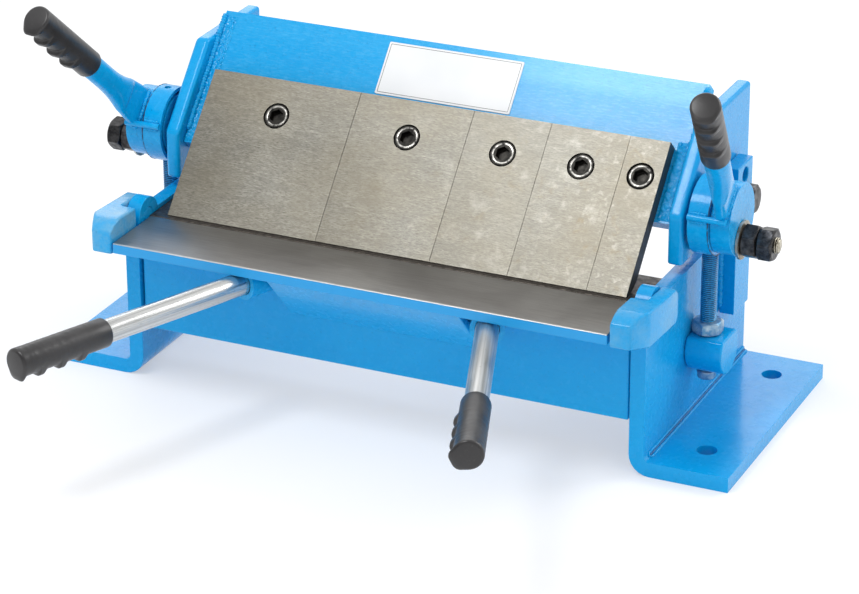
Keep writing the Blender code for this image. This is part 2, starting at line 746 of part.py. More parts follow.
def lever(side, sign):
    """The arm, flat where it meets the hub and round under the grip, and its grip."""
    angle = lever_angles[side]
    reach = lever_tip - lever_root
    tip = cam + Vector((sign * ((hub_inner + hub_outer) / 2 + lever_splay),
                        -lever_tip * math.cos(angle), lever_tip * math.sin(angle)))
    root = cam + Vector((sign * (hub_inner + hub_outer) / 2,
                         -lever_root * math.cos(angle), lever_root * math.sin(angle)))
    along = (tip - root).normalized()
    length = (tip - root).length
    wide = along.cross(Vector((1, 0, 0))).normalized()
    thin = wide.cross(along).normalized()
    flat = lever_radius * lever_flat_share
    rows = [(0, flat), (lever_neck - lever_root, flat), (lever_round - lever_root, lever_radius)]
    rows += [(length - grip_cap - fit_gap, lever_radius)]
    arm = loft("lever_arm_" + side, root, along, wide, thin, rows)
    saddle = hub_radius + fit_gap
    cut(arm, cylinder("hub_room", cam + Vector((sign * eye_inner, 0, 0)),
                      cam + Vector((sign * (hub_outer + reach), 0, 0)), saddle))
    finish(arm, "blue")
    grip("lever_grip_" + side, tip, along, lever_grip_length, lever_grip_radius, lever_radius,
         Vector((0, 0, -1)))


def loft(name, start, along, wide, thin, rows, segments=24):
    """A bar whose thickness changes along its length: rows of (distance, half thickness)."""
    shell = bmesh.new()
    rings = []
    for distance, half in rows:
        ring = []
        for step in range(segments):
            turn = 2 * math.pi * step / segments
            offset = wide * lever_radius * math.cos(turn) + thin * half * math.sin(turn)
            ring.append(shell.verts.new(start + along * distance + offset))
        rings.append(ring)
    for low, high in zip(rings, rings[1:]):
        for step in range(segments):
            after = (step + 1) % segments
            shell.faces.new((low[step], low[after], high[after], high[step]))
    shell.faces.new(rings[0])
    shell.faces.new(rings[-1])
    bmesh.ops.recalc_face_normals(shell, faces=shell.faces)
    mesh = bpy.data.meshes.new(name)
    shell.to_mesh(mesh)
    shell.free()
    return new_object(name, mesh, Matrix.Identity(4), machine)


def eye(side, sign):
    """The ring round the eccentric, with the stop that the lever comes to rest on."""
    along = Vector((sign, 0, 0))
    ring = cylinder("eye_ring_" + side, cam + along * eye_inner, cam + along * eye_outer, eye_radius)
    pin_reach = eye_radius + stop_pin_radius - stop_pin_bite
    at = cam + Vector((0, -pin_reach * math.cos(stop_pin_angle), pin_reach * math.sin(stop_pin_angle)))
    join(ring, cylinder("stop_pin", at + along * (eye_inner + fit_gap), at + along * (hub_outer - stop_pin_short),
                        stop_pin_radius, small_round_count))
    bore(ring, cam + along * eye_inner, cam + along * eye_outer, eye_bore)
    crown = cam + Vector((sign * rod_x, 0, eye_radius))
    blind(ring, crown, crown - Vector((0, 0, eye_radius - journal_radius)), oil_hole_radius, small_round_count)
    low = cam + Vector((sign * rod_x, 0, -eye_radius))
    blind(ring, low, low + Vector((0, 0, rod_bite + fit_gap)), rod_radius + rod_bore_play, small_round_count)
    return finish(ring, "blue")


def pull_rod(side, sign):
    """Threaded rod, its lock nut, and the block it screws into, which swivels on the frame."""
    axis = Vector((sign * rod_x, stud.y, 0))
    top = Vector((0, 0, cam.z - eye_radius + rod_bite))
    under = trunnion_z - trunnion_radius
    rod = cylinder("pull_rod_" + side, axis + Vector((0, 0, under - rod_tail)), axis + top, rod_radius,
                   small_round_count)
    finish(rod, "blue")
    seat = trunnion_z + trunnion_flat + fit_gap
    nut = cylinder("rod_lock_nut_" + side, axis + Vector((0, 0, seat)),
                   axis + Vector((0, 0, seat + rod_nut_height)), hexagon_radius(rod_nut_across), hexagon_count)
    bore(nut, axis + Vector((0, 0, seat)), axis + Vector((0, 0, seat + rod_nut_height)),
         rod_radius + rod_bore_play, small_round_count)
    finish(nut, "zinc")
    inner = frame_outer + fit_gap
    along = Vector((sign, 0, 0))
    block = cylinder("trunnion_block_" + side, trunnion + along * inner,
                     trunnion + along * (inner + trunnion_length), trunnion_radius)
    top_cut = box("flat_top", (-2 * foot_edge, stud.y - trunnion_radius * 2, trunnion_z + trunnion_flat),
                  (2 * foot_edge, stud.y + trunnion_radius * 2, trunnion_z + trunnion_radius * 2))
    cut(block, top_cut)
    bore(block, axis + Vector((0, 0, trunnion_z - trunnion_radius)),
         axis + Vector((0, 0, trunnion_z + trunnion_radius)), rod_radius + rod_bore_play, small_round_count)
    blind(block, trunnion + along * inner,
          trunnion + along * (frame_outer + trunnion_pin_length + fit_gap),
          trunnion_pin_radius + trunnion_play, small_round_count)
    finish(block, "blue")


bed()
leaf_plates()
fingers()
clamping_beam()
for side_name, side_sign in sides.items():
    side_frame(side_name, side_sign)
    rear_bar(side_name, side_sign)
    pivot_bolt(side_name, side_sign)
    hinge_pin(side_name, side_sign)
    leaf_ear(side_name, side_sign)
    leaf_handle(side_name, side_sign)
    end_plate(side_name, side_sign)
    clamp_stud(side_name, side_sign)
    cam_hub(side_name, side_sign)
    lever(side_name, side_sign)
    eye(side_name, side_sign)
    pull_rod(side_name, side_sign)


def axis_empty(name, at, parent):
    """An empty on a joint's axis, which carries that body's pieces."""
    empty = bpy.data.objects.new(name, None)
    machine.objects.link(empty)
    empty.empty_display_size = lug_radius
    empty.matrix_world = Matrix.Translation(at)
    if parent:
        hang(empty, parent)
    return empty


def hang(piece, parent):
    """Parent a piece and leave it where it is."""
    bpy.context.view_layer.update()
    place = piece.matrix_world.copy()
    piece.parent = parent
    piece.matrix_parent_inverse = parent.matrix_world.inverted()
    piece.matrix_world = place


pieces = [piece for piece in machine.objects if piece.type == "MESH"]
datum = axis_empty("datum", (0, 0, 0), None)
carriers = [
    ("leaf_axis", hinge, ("leaf_", "handle_socket_"), "datum"),
    ("beam_axis", pivot, ("beam_", "end_plate_", "finger_", "clamp_stud_", "stud_"), "datum"),
]
for side_name, side_sign in sides.items():
    at_side = Vector((side_sign * (hub_inner + hub_outer) / 2, 0, 0))
    carriers.append(("lever_axis_" + side_name, stud + at_side,
                     ("cam_hub_" + side_name, "lever_arm_" + side_name, "lever_grip_" + side_name),
                     "beam_axis"))
    carriers.append(("rod_axis_" + side_name, trunnion + at_side,
                     ("eye_ring_" + side_name, "pull_rod_" + side_name, "trunnion_block_" + side_name,
                      "rod_lock_nut_" + side_name), "datum"))
empties = {"datum": datum}
carried = set()
for carrier_name, place_at, prefixes, above_name in carriers:
    empties[carrier_name] = axis_empty(carrier_name, place_at, empties[above_name])
    for piece in pieces:
        if piece.name.startswith(prefixes):
            hang(piece, empties[carrier_name])
            carried.add(piece.name)
for piece in pieces:
    if piece.name not in carried:
        hang(piece, datum)
for tool in list(cutters.objects):
    hang(tool, datum)
bpy.context.view_layer.update()


def outer_points():
    """Every vertex of the finished pieces in the world."""
    graph = bpy.context.evaluated_depsgraph_get()
    for piece in pieces:
        shape = piece.evaluated_get(graph)
        mesh = shape.to_mesh()
        for vertex in mesh.vertices:
            yield piece.matrix_world @ vertex.co
        shape.to_mesh_clear()


front_to_back = [point.y for point in outer_points()]
origin_y = (min(front_to_back) + max(front_to_back)) / 2
datum.location.y = -origin_y
bpy.context.view_layer.update()

for piece in pieces:
    piece.data.shade_smooth()
    piece.data.set_sharp_from_angle(angle=math.radians(30))

print("origin_y", round(origin_y / mm, 3))
for carrier_name, empty in empties.items():
    print(carrier_name, [round(value / mm, 3) for value in empty.matrix_world.translation])
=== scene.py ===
import math

import bpy
from mathutils import Matrix, Vector, noise


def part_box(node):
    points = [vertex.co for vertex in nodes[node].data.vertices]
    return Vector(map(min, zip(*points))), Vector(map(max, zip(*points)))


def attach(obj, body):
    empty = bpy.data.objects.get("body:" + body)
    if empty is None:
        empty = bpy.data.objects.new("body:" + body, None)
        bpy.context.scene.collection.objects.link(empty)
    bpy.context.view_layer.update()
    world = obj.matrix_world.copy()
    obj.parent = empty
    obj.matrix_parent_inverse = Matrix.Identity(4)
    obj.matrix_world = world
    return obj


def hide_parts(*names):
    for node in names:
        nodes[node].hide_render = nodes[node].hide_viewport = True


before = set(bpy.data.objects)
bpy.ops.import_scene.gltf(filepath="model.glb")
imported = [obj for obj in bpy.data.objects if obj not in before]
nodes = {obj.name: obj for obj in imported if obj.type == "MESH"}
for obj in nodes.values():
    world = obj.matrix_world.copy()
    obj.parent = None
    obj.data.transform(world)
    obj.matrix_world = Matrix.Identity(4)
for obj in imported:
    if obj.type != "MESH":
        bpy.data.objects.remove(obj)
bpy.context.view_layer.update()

mm = 0.001
front_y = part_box("frame_left")[0].y   # the side frames' front faces, from which y is counted
sides = {"left": -1, "right": 1}

# Places shared with the CAD model, in mm: x from the middle, y from the frames' front, z above the bench
finger_lean = math.radians(47.25)
finger_nose = (18.7, 104.3)
half_finger_row = 152.4
beam_face_depth = 9.8
beam_top_station = 141
screw_places = [-101.6, -12.7, 50.8, 101.6, 139.7]
screw_station = 75.3
stud_axis = (78, 126.5)
stud_collar = (172.8, 175.3)
stud_thread_start = 202
eye_axis = (78, 139.5)
eye_ring_edge = (188.2, 23.6)
stop_pin_angle = 15
hub_middle = 195.05
hub_radius = 22.0
lever_angles = {"left": 43.3, "right": 47.6}
lever_tip_x = 211.45
lever_root_reach, lever_tip_reach = 18, 145
lever_arm_radius = 7.6
leaf_handle_ways = {"left": (-58.5, -153.5, 3.7), "right": (57.1, -153.5, 3.7)}
thread_radius = 5
thread_pitch = 1.25
thread_depth = 0.85


def at(x, y, z):
    """A point given in mm, with y from the frames' front, in metres."""
    return Vector((x, y, z)) * mm + Vector((0, front_y, 0))


def on_finger(x, station, depth):
    """The point at a station up the fingers' front face and a depth behind it, in mm."""
    y = finger_nose[0] + station * math.cos(finger_lean) + depth * math.sin(finger_lean)
    z = finger_nose[1] + station * math.sin(finger_lean) - depth * math.cos(finger_lean)
    return at(x, y, z)


def round_eye(x, radius, angle):
    """The point at an angle above the clamps' eye axis, counted from its front."""
    return at(x, eye_axis[0] - radius * math.cos(angle), eye_axis[1] + radius * math.sin(angle))


def linear(red, green, blue):
    """A colour read as 0 to 255 values, for a shader socket."""
    def one(value):
        value /= 255
        return value / 12.92 if value <= 0.04045 else ((value + 0.055) / 1.055) ** 2.4
    return (one(red), one(green), one(blue), 1)


class Graph:
    """A node tree under construction: short calls that add nodes and return their outputs."""

    def __init__(self, tree):
        self.tree = tree

    def node(self, kind, **settings):
        made = self.tree.nodes.new(kind)
        for key, value in settings.items():
            setattr(made, key, value)
        return made

    def link(self, value, socket):
        if isinstance(value, bpy.types.NodeSocket):
            self.tree.links.new(value, socket)
        else:
            socket.default_value = value

    def maths(self, operation, *values):
        made = self.node("ShaderNodeMath", operation=operation)
        for value, socket in zip(values, made.inputs):
            self.link(value, socket)
        return made.outputs[0]

    def times(self, first, second):
        return self.maths("MULTIPLY", first, second)

    def spread(self, value, low, high, to_low=0.0, to_high=1.0):
        """Maps low..high to to_low..to_high, clamped."""
        made = self.node("ShaderNodeMapRange")
        for key, number in (("From Min", low), ("From Max", high), ("To Min", to_low), ("To Max", to_high)):
            made.inputs[key].default_value = number
        self.link(value, made.inputs["Value"])
        return made.outputs[0]

    def clear_rays(self):
        """1 for the camera's, gloss and transmission rays, and the outputs that tell the rays apart."""
        rays = self.node("ShaderNodeLightPath").outputs
        seen = self.maths("MAXIMUM", rays["Is Camera Ray"], rays["Is Glossy Ray"])
        return self.maths("MAXIMUM", seen, rays["Is Transmission Ray"]), rays


class Finish(Graph):
    """A material: its nodes use the place on the object, in metres."""

    def __init__(self, name, **sockets):
        self.material = bpy.data.materials.new(name)
        self.material.use_nodes = True
        super().__init__(self.material.node_tree)
        self.shader = self.tree.nodes["Principled BSDF"]
        self.set(**sockets)
        self.place = self.node("ShaderNodeTexCoord").outputs["Object"]

    def set(self, **sockets):
        for key, value in sockets.items():
            self.link(value, self.shader.inputs[key.replace("_", " ").title().replace("Ior", "IOR")])

    def noise(self, scale, detail=2.0, roughness=0.5, place=None, distortion=0.0):
        made = self.node("ShaderNodeTexNoise")
        made.inputs["Scale"].default_value = scale
        made.inputs["Detail"].default_value = detail
        made.inputs["Roughness"].default_value = roughness
        made.inputs["Distortion"].default_value = distortion
        self.link(place or self.place, made.inputs["Vector"])
        return made.outputs["Fac"]

    def streaks(self, scale, detail, roughness=0.5, turn=(0, 0, 0)):
        """A noise with its own scale along each axis, after the axes are turned."""
        turned = self.node("ShaderNodeMapping", vector_type="TEXTURE")
        turned.inputs["Rotation"].default_value = turn
        self.link(self.place, turned.inputs["Vector"])
        scaled = self.node("ShaderNodeMapping")
        scaled.inputs["Scale"].default_value = scale
        self.link(turned.outputs[0], scaled.inputs["Vector"])
        return self.noise(1, detail, roughness, scaled.outputs[0])

    def mix(self, amount, first, second):
        made = self.node("ShaderNodeMix", data_type="RGBA")
        self.link(amount, made.inputs[0])
        self.link(first, made.inputs[6])
        self.link(second, made.inputs[7])
        return made.outputs[2]

    def bump(self, height, distance, strength=1.0, under=None):
        made = self.node("ShaderNodeBump")
        made.inputs["Strength"].default_value = strength
        made.inputs["Distance"].default_value = distance
        self.link(height, made.inputs["Height"])
        if under is not None:
            self.link(under, made.inputs["Normal"])
        return made.outputs[0]

    def axis(self, letter):
        made = self.node("ShaderNodeSeparateXYZ")
        self.link(self.place, made.inputs[0])
        return made.outputs["XYZ".index(letter)]


def beam_streaks_and_highlights(made, colour, streaks_and_highlights):
    """Painted highlights on the beam, glints and a paler band along its top, with dark streak lines, all stronger to
    the right.
    """
    right_side = made.spread(made.axis("X"), -0.04, 0.16, 0.15, streaks_and_highlights)
    lines = made.spread(made.streaks((230, 1400, 1400), 4, 0.7), 0.5, 0.66)
    painted_glints = made.spread(made.streaks((180, 1000, 1000), 3, 0.7), 0.48, 0.66)
    # painted highlight: pale glints where the lamp's reflection falls on the beam
    colour = made.mix(made.times(painted_glints, right_side), colour, linear(120, 204, 240))
    # painted highlight: a paler band along the beam's top edge
    painted_highlight_band = made.spread(made.axis("Z"), on_finger(0, 124, 9).z, on_finger(0, 131, 9).z)
    painted_highlight_band = made.times(painted_highlight_band, made.spread(made.axis("X"), -0.03, 0.09, 0.05, 0.5))
    colour = made.mix(painted_highlight_band, colour, linear(112, 202, 236))
    return made.mix(made.times(lines, right_side), colour, linear(0, 128, 190))


def rubbed_patches(made, colour, rubbed):
    """Paint rubbed pale in patches, more so on the left."""
    share = made.spread(made.noise(42, 5, 0.72), 0.36, 0.66)
    share = made.times(share, made.spread(made.axis("X"), -0.1, 0.1, rubbed, rubbed * 0.55))
    return made.mix(share, colour, linear(142, 178, 192))


def enamel(name, roughened=0.0, streaks_and_highlights=0.0, rubbed=0.0):
    """Sky-blue gloss enamel: orange peel, sags along the machine, grit on rough metal, and on the beam painted
    highlights.
    """
    made = Finish(name, specular_ior_level=0.15, coat_weight=0.25, coat_ior=1.5, coat_roughness=0.1,
                  sheen_weight=0.06, sheen_roughness=0.3)
    broad = made.spread(made.noise(9, 3), 0.3, 0.7)
    fine = made.spread(made.noise(300, 3, 0.6), 0.45, 0.75)
    colour = made.mix(broad, linear(0, 149, 213), linear(0, 160, 223))
    colour = made.mix(made.times(fine, 0.1 + 0.3 * roughened), colour, linear(64, 188, 240))
    dark = made.spread(made.streaks((90, 900, 900), 3, 0.65), 0.52, 0.72)
    colour = made.mix(made.times(dark, 0.12), colour, linear(0, 124, 192))
    # the beam gets painted highlights as well as streaks
    if streaks_and_highlights:
        colour = beam_streaks_and_highlights(made, colour, streaks_and_highlights)
    if rubbed:
        colour = rubbed_patches(made, colour, rubbed)
    pits = made.spread(made.noise(520, 2), 0.64, 0.72)
    colour = made.mix(made.times(pits, 0.25 + 0.3 * roughened), colour, linear(0, 92, 150))
    made.set(base_color=colour)
    made.set(roughness=made.spread(made.noise(150, 3), 0.3, 0.7, 0.2, 0.32))
    sags = made.bump(made.streaks((40, 380, 380), 3, 0.6), 0.22 * mm, 0.3 + streaks_and_highlights)
    peel = made.bump(made.noise(300, 1), 0.16 * mm, 0.35, under=sags)
    grit_height = (0.05 + 0.4 * roughened) * mm
    made.set(normal=made.bump(made.noise(700, 3, 0.6), grit_height, 0.3 + 0.5 * roughened, under=peel))
    return made.material


def ground_steel():
    """Surface-ground steel of the fingers: short grain along the bend line, oil marks, dark sawn sides."""
    made = Finish("ground_steel", anisotropic=0.2)
    grain = made.streaks((360, 1700, 1700), 4, 0.7)
    coarse = made.spread(made.streaks((70, 420, 420), 4, 0.65), 0.4, 0.62)
    clouds = made.spread(made.noise(16, 5, 0.62), 0.36, 0.66)
    colour = made.mix(made.spread(grain, 0.3, 0.7), linear(84, 82, 76), linear(152, 150, 141))
    colour = made.mix(made.times(coarse, 0.5), colour, linear(104, 102, 96))
    colour = made.mix(made.times(clouds, 0.45), colour, linear(112, 105, 89))
    right_side = made.spread(made.axis("X"), -0.06, 0.13)
    pale = made.spread(made.noise(75, 5, 0.75), 0.54, 0.72)
    marks = made.times(pale, made.spread(right_side, 0, 1, 0.08, 0.38))
    colour = made.mix(marks, colour, linear(186, 184, 176))
    drops = made.spread(made.noise(240, 2), 0.6, 0.72)
    dried = made.times(made.times(drops, made.spread(made.axis("X"), 0.06, 0.13)), 0.2)
    colour = made.mix(dried, colour, linear(206, 204, 196))
    spots = made.spread(made.noise(80, 4, 0.75, distortion=0.6), 0.58, 0.7)
    stain = made.times(made.times(spots, right_side), 0.5)
    colour = made.mix(stain, colour, linear(112, 100, 76))
    end_low, end_high = (half_finger_row - 0.3) * mm, (half_finger_row - 0.1) * mm
    sawn = made.spread(made.maths("ABSOLUTE", made.axis("X")), end_low, end_high)
    sawn_colour = made.mix(grain, linear(74, 70, 64), linear(50, 47, 42))
    made.set(base_color=made.mix(sawn, colour, sawn_colour))
    made.set(metallic=made.spread(sawn, 0, 1, 1, 0.25))
    made.set(roughness=made.spread(grain, 0.2, 0.8, 0.34, 0.5))
    made.set(normal=made.bump(grain, 0.03 * mm, 0.6))
    return made.material


def oily_steel():
    """Darker rolled steel of the leaf plate with a film of oil, enamelled in front and underneath."""
    made = Finish("oily_steel", anisotropic=0.2)
    grain = made.streaks((60, 1100, 1100), 4, 0.65)
    film = made.spread(made.noise(13, 4, 0.6, distortion=0.4), 0.35, 0.68)
    colour = made.mix(made.spread(grain, 0.25, 0.75), linear(148, 146, 143), linear(172, 170, 167))
    colour = made.mix(made.times(film, 0.4), colour, linear(122, 119, 120))
    low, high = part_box("leaf_plate")
    # a paler line along the front top edge
    pale_front_line = made.spread(made.axis("Y"), low.y + 0.9 * mm, low.y + 1.6 * mm, 1, 0)
    colour = made.mix(pale_front_line, colour, linear(206, 206, 204))
    faces_front = made.spread(made.axis("Y"), low.y + 0.3 * mm, low.y + 0.45 * mm, 1, 0)
    below_top = made.spread(made.axis("Z"), high.z - 0.5 * mm, high.z - 0.35 * mm, 1, 0)
    under = made.spread(made.axis("Z"), high.z - 1.2 * mm, high.z - 0.9 * mm, 1, 0)
    painted = made.maths("MAXIMUM", made.times(faces_front, below_top), under)
    made.set(base_color=made.mix(painted, colour, linear(20, 150, 216)))
    made.set(metallic=made.maths("SUBTRACT", 1.0, painted))
    made.set(roughness=made.spread(film, 0, 1, 0.42, 0.3))
    made.set(normal=made.bump(grain, 0.02 * mm, 0.3))
    return made.material


def bright_tube(name, direction, roughness):
    """Drawn, zinc-plated tube with streaks along its length."""
    turn = Vector(direction).to_track_quat("X", "Z").to_euler()
    made = Finish(name, metallic=1.0, anisotropic=0.3)
    streaks = made.streaks((9, 700, 700), 4, 0.6, turn)
    bands = made.streaks((30, 120, 120), 2, turn=turn)
    specks = made.spread(made.noise(420, 3, 0.7), 0.62, 0.74)
    colour = made.mix(made.spread(streaks, 0.3, 0.7), linear(170, 171, 170), linear(222, 223, 222))
    made.set(base_color=made.mix(made.times(specks, 0.35), colour, linear(120, 118, 116)))
    made.set(roughness=made.spread(bands, 0.3, 0.7, roughness, roughness + 0.12))
    made.set(normal=made.bump(streaks, 0.03 * mm, 0.3))
    return made.material


def plated(name, light, dark, metallic, roughness):
    """One mottled and rubbed finish, for nuts, bolts and washers and for the paint in grooves and threads, where the
    darker copies are painted shade.
    """
    made = Finish(name, metallic=metallic)
    mottle = made.spread(made.noise(260, 3, 0.65), 0.35, 0.7)
    rubbed = made.spread(made.noise(900, 2), 0.55, 0.75)
    colour = made.mix(mottle, dark, light)
    made.set(base_color=made.mix(made.times(rubbed, 0.2), colour, light))
    made.set(roughness=made.spread(mottle, 0, 1, roughness + 0.1, roughness - 0.05))
    made.set(normal=made.bump(made.noise(1100, 2), 0.04 * mm, 0.4))
    return made.material


def rubber():
    """Dipped black plastic of the grips."""
    made = Finish("black_grip", specular_ior_level=0.5)
    cloud = made.spread(made.noise(45, 3), 0.3, 0.7)
    colour = made.mix(cloud, linear(38, 37, 38), linear(52, 51, 52))
    dust = made.spread(made.noise(800, 3, 0.7), 0.62, 0.76)
    made.set(base_color=made.mix(made.times(dust, 0.25), colour, linear(112, 110, 108)))
    made.set(roughness=made.spread(cloud, 0, 1, 0.3, 0.42))
    made.set(normal=made.bump(made.noise(1300, 3), 0.06 * mm, 0.5))
    return made.material


def sheet_plastic(name, colour, shade):
    """Thin film of the blank plate."""
    made = Finish(name, roughness=0.32)
    cloud = made.spread(made.noise(30, 2), 0.3, 0.7)
    made.set(base_color=made.mix(cloud, colour, shade))
    made.set(normal=made.bump(made.noise(500, 2), 0.03 * mm, 0.15))
    return made.material


paint = enamel("blue_enamel")
weld_paint = enamel("blue_weld_enamel", roughened=1.0)
# the beam's enamel carries painted highlights
beam_paint = enamel("blue_beam_enamel", streaks_and_highlights=0.45)
ear_paint = enamel("blue_rubbed_enamel", rubbed=0.6)
cast_paint = enamel("blue_rough_enamel", roughened=0.6)
# painted shade: darker paint for thread valleys and the gap beside each hub
painted_shade_blue = plated("blue_thread_valley_painted_shade", linear(12, 84, 132), linear(4, 52, 88), 0.0, 0.4)
# painted shade in the foot's groove
groove_painted_shade = plated("blue_groove_painted_shade", linear(10, 112, 172), linear(6, 92, 150), 0.0, 0.4)
rod_paint = plated("blue_thread_crest", linear(64, 164, 216), linear(10, 126, 186), 0.0, 0.26)
finger_steel = ground_steel()
leaf_steel = oily_steel()
bar_steel = plated("bed_bar_steel", linear(102, 96, 90), linear(66, 62, 58), 0.9, 0.4)
black_metal = plated("black_oxide", linear(90, 89, 90), linear(36, 36, 38), 0.85, 0.34)
screw_black = plated("screw_black", linear(44, 42, 38), linear(16, 15, 13), 0.7, 0.4)
zinc = plated("bright_zinc", linear(212, 208, 194), linear(150, 142, 124), 1.0, 0.3)
# painted shade in the zinc stud's thread valleys
painted_shade_zinc = plated("zinc_thread_valley_painted_shade", linear(104, 92, 70), linear(58, 50, 40), 0.8, 0.5)
stained_zinc = plated("stained_washer", linear(204, 204, 198), linear(138, 126, 108), 0.9, 0.4)
worn_nut = plated("worn_blue_nut", linear(186, 200, 208), linear(86, 142, 178), 0.55, 0.32)
worn_rim = plated("worn_rim", linear(196, 194, 188), linear(40, 39, 38), 1.0, 0.3)
grip = rubber()
plate_white = sheet_plastic("plate_white", linear(222, 224, 226), linear(214, 217, 220))
plate_line = sheet_plastic("plate_line", linear(60, 66, 74), linear(48, 54, 62))
tube_left = bright_tube("bright_tube_left", leaf_handle_ways["left"], 0.18)
tube_right = bright_tube("bright_tube_right", leaf_handle_ways["right"], 0.36)

# The first prefix that a node's name starts with gives its material and edge rounding in mm
node_finishes = [
    ("finger_screw", screw_black, 0.5), ("finger_", finger_steel, 0.3), ("leaf_plate", leaf_steel, 0.5),
    ("leaf_handle_left", tube_left, 0.4), ("leaf_handle_right", tube_right, 0.4),
    ("leaf_grip", grip, 0.6), ("lever_grip", grip, 0.6), ("leaf_ear", ear_paint, 1.5), ("leaf_", paint, 1.0),
    ("handle_socket", cast_paint, 0.8), ("beam_", beam_paint, 0.9), ("end_plate", paint, 2.4),
    ("bed_bar", bar_steel, 0.6), ("hinge_pin", cast_paint, 0.4), ("pivot_", black_metal, 0.6),
    ("cam_hub", cast_paint, 0.8), ("eye_ring", cast_paint, 0.8), ("trunnion", paint, 1.2),
    ("stud_lock_nut", black_metal, 0.5), ("stud_nut", black_metal, 0.5), ("stud_washer", stained_zinc, 0.3),
    ("rod_lock_nut", paint, 0.5), ("frame_", paint, 1.1), ("", paint, 0.9),
]


def add_bevel(piece, width, segments, sharper_than):
    rounded = piece.modifiers.new("edges", "BEVEL")
    rounded.width = width * mm
    rounded.segments = segments
    rounded.limit_method = "ANGLE"
    rounded.angle_limit = math.radians(sharper_than)
    return rounded


def dress_nodes():
    """Gives every CAD node its material and softly rounded edges."""
    for name, node in nodes.items():
        material, rounding = next(rest for prefix, *rest in node_finishes if name.startswith(prefix))
        node.data.materials.clear()
        node.data.materials.append(material)
        node.data.shade_smooth()
        weld = node.modifiers.new("weld", "WELD")
        weld.merge_threshold = 0.003 * mm
        flat = node.modifiers.new("flat_faces", "DECIMATE")
        flat.decimate_type = "DISSOLVE"
        flat.angle_limit = math.radians(0.6)
        rounded = add_bevel(node, rounding, 3, 34)
        rounded.use_clamp_overlap = not name.startswith("end_plate")
        rounded.harden_normals = True
        rounded.miter_outer = "MITER_ARC"
        shading = node.modifiers.new("shading", "WEIGHTED_NORMAL")
        shading.keep_sharp = True
        shading.weight = 60


def add_piece(name, body, material, slot, vertices, faces, smooth=True):
    """A new mesh piece that rides on a CAD body."""
    mesh = bpy.data.meshes.new(name)
    mesh.from_pydata([tuple(v) for v in vertices], [], faces)
    mesh.validate()
    mesh.polygons.foreach_set("use_smooth", [smooth] * len(mesh.polygons))
    mesh.materials.append(material)
    piece = bpy.data.objects.new(name, mesh)
    bpy.context.scene.collection.objects.link(piece)
    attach(piece, body)
    return piece


def along(start, end):
    """The matrix that takes local +Z from the origin to the line from start to end."""
    turn = (end - start).to_track_quat("Z", "Y")
    return Matrix.Translation(start) @ turn.to_matrix().to_4x4()


def strip(first, second, around):
    """The faces between two rings of points, given by the index of each ring's first point."""
    return [(first + i, first + (i + 1) % around, second + (i + 1) % around, second + i) for i in range(around)]


def rings(count, around, place):
    """Vertices and faces of a closed tube: place(ring, share of a turn) gives each point, ends are capped."""
    vertices = [place(ring, step / around) for ring in range(count) for step in range(around)]
    faces = []
    for ring in range(count - 1):
        faces += strip(ring * around, (ring + 1) * around, around)
    faces.append(tuple(reversed(range(around))))
    faces.append(tuple(range((count - 1) * around, count * around)))
    return vertices, faces


def paint_valley_shade(piece, start, end, material):
    """Gives the bottom of a thread its own darker material, as painted shade in the valleys."""
    direction = (end - start).normalized()
    piece.data.materials.append(material)
    limit = (thread_radius - 0.5 * thread_depth) * mm
    shallow = (thread_radius - 1.2 * thread_depth) * mm
    for face in piece.data.polygons:
        offset = face.center - start
        away = (offset - direction * offset.dot(direction)).length
        if len(face.vertices) == 4 and shallow < away < limit:
            face.material_index = 1


def threaded(start, end, stations):
    """A turned bar from start to end. stations lists (distance, radius, threaded), all in mm."""
    steps_per_turn = 6
    frame_matrix = along(start, end)
    rows = []
    for (a, radius_a, cut_a), (b, radius_b, cut_b) in zip(stations, stations[1:]):
        steps = max(1, round((b - a) / thread_pitch * steps_per_turn)) if cut_a and cut_b else 1
        for step in range(steps):
            share = step / steps
            rows.append((a + (b - a) * share, radius_a + (radius_b - radius_a) * share, cut_a and cut_b))
    rows.append(stations[-1])

    def place(ring, turn):
        distance, radius, cut = rows[ring]
        if cut:
            phase = (distance / thread_pitch - turn) % 1
            ridge = 1 - abs(2 * phase - 1)
            radius -= thread_depth * (1 - min(1, max(0, (ridge - 0.1) / 0.7)))
        angle = 2 * math.pi * turn
        return frame_matrix @ (Vector((radius * math.cos(angle), radius * math.sin(angle), distance)) * mm)

    return rings(len(rows), 32, place)


def bead_mesh(points, radius, seed, ripple, closed):
    """A bead along points in metres: overlapping lumps, ripple mm apart, with tapered ends unless closed."""
    points = [Vector(p) for p in points]
    if closed:
        points = points + [points[0]]
    path = [points[0]]
    for a, b in zip(points, points[1:]):
        steps = max(1, round((b - a).length / (0.45 * mm)))
        path += [a.lerp(b, (step + 1) / steps) for step in range(steps)]
    length = 0.0
    rows = []
    total = sum((b - a).length for a, b in zip(path, path[1:]))
    for index, point in enumerate(path):
        ahead = path[min(index + 1, len(path) - 1)]
        behind = path[max(index - 1, 0)]
        if index:
            length += (point - path[index - 1]).length
        rows.append((point, (ahead - behind).normalized(), length))
    never_along = Vector((0.13, 0.31, 0.94))   # a way that no bead runs, to turn its rings from

    def place(ring, turn):
        point, direction, distance = rows[ring]
        side = direction.cross(never_along).normalized()
        other = direction.cross(side)
        wave = 1 + 0.13 * math.cos(2 * math.pi * distance / (ripple * mm))
        lump = 1 + 0.3 * noise.noise(Vector((distance * 420, seed * 7.3, turn * 2)))
        ends = 1.0
        if not closed:
            ends = min(1.0, 0.25 + min(distance, total - distance) / (radius * mm))
        size = radius * mm * wave * lump * ends
        angle = 2 * math.pi * turn
        return point + (side * math.cos(angle) + other * math.sin(angle)) * size

    return rings(len(rows), 10, place)


